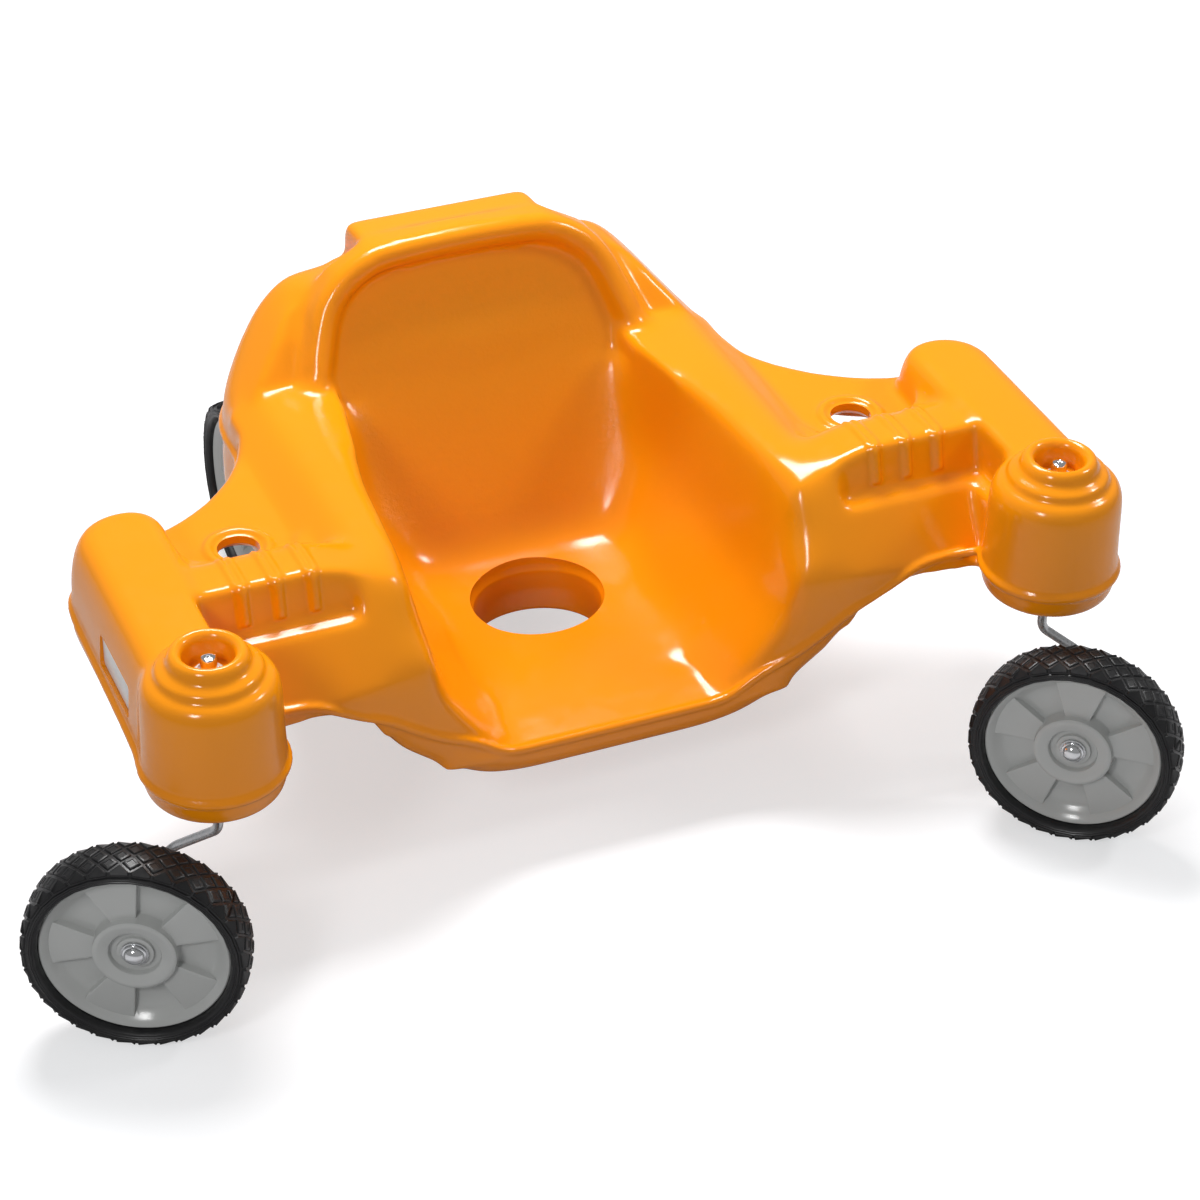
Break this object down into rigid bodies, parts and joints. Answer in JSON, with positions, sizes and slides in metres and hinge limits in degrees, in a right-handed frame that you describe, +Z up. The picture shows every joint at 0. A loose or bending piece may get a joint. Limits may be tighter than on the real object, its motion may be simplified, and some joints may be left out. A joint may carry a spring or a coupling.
{
  "type": "ride-on seat scooter",
  "caption": "Low ride-on: a moulded bucket seat with side grips on two free-swivelling front casters and a fixed rear axle.",
  "frame": {"origin": "on the floor, under the middle of the bounding box as the casters stand in the picture", "axes": "+Z up, -Y the way the rider faces, +X the side right of the middle as seen from the front; the body's own middle plane is x = 0.054"},
  "size_m": [0.9547, 0.7636, 0.3826],
  "materials": {
    "body": "glossy rotomoulded polyethylene, orange",
    "label": "satin white, left bare",
    "hub": "semi-gloss grey moulding",
    "tyre": "matt black",
    "steel": "zinc plated",
    "chrome": "polished",
    "bush": "plain nylon"
  },
  "bodies": {
    "body": {"body_shell": "body", "label_plate": "label", "left_top_bush": "bush", "left_foot_bush": "bush", "left_thrust_washer": "steel", "right_top_bush": "bush", "right_foot_bush": "bush", "right_thrust_washer": "steel", "rear_axle": "steel", "left_axle_bush": "bush", "right_axle_bush": "bush", "rear_left_cap": "chrome", "rear_left_outer_washer": "steel", "rear_left_inner_washer": "steel", "rear_right_cap": "chrome", "rear_right_outer_washer": "steel", "rear_right_inner_washer": "steel"},
    "left_caster": {"left_caster_leg": "steel", "left_kingpin_screw": "chrome", "left_kingpin_washer": "steel", "front_left_cap": "chrome", "front_left_outer_washer": "steel", "front_left_inner_washer": "steel"},
    "right_caster": {"right_caster_leg": "steel", "right_kingpin_screw": "chrome", "right_kingpin_washer": "steel", "front_right_cap": "chrome", "front_right_outer_washer": "steel", "front_right_inner_washer": "steel"},
    "front_left_wheel": {"front_left_tyre": "tyre", "front_left_hub": "hub"},
    "front_right_wheel": {"front_right_tyre": "tyre", "front_right_hub": "hub"},
    "rear_left_wheel": {"rear_left_tyre": "tyre", "rear_left_hub": "hub"},
    "rear_right_wheel": {"rear_right_tyre": "tyre", "rear_right_hub": "hub"}
  },
  "joints": [
    {"name": "left_swivel", "type": "hinge", "parent": "body", "child": "left_caster", "pos_m": [-0.308, -0.214, 0.2], "axis": [0, 0, 1], "continuous": true},
    {"name": "right_swivel", "type": "hinge", "parent": "body", "child": "right_caster", "pos_m": [0.416, -0.214, 0.2], "axis": [0, 0, 1], "continuous": true},
    {"name": "front_left_spin", "type": "hinge", "parent": "left_caster", "child": "front_left_wheel", "pos_m": [-0.39175, -0.26479, 0.089], "axis": [-0.4493, -0.8934, 0], "continuous": true},
    {"name": "front_right_spin", "type": "hinge", "parent": "right_caster", "child": "front_right_wheel", "pos_m": [0.40012, -0.31065, 0.089], "axis": [-0.6613, -0.7501, 0], "continuous": true},
    {"name": "rear_left_spin", "type": "hinge", "parent": "body", "child": "rear_left_wheel", "pos_m": [-0.116, 0.293, 0.089], "axis": [1, 0, 0], "continuous": true},
    {"name": "rear_right_spin", "type": "hinge", "parent": "body", "child": "rear_right_wheel", "pos_m": [0.224, 0.293, 0.089], "axis": [1, 0, 0], "continuous": true}
  ]
}
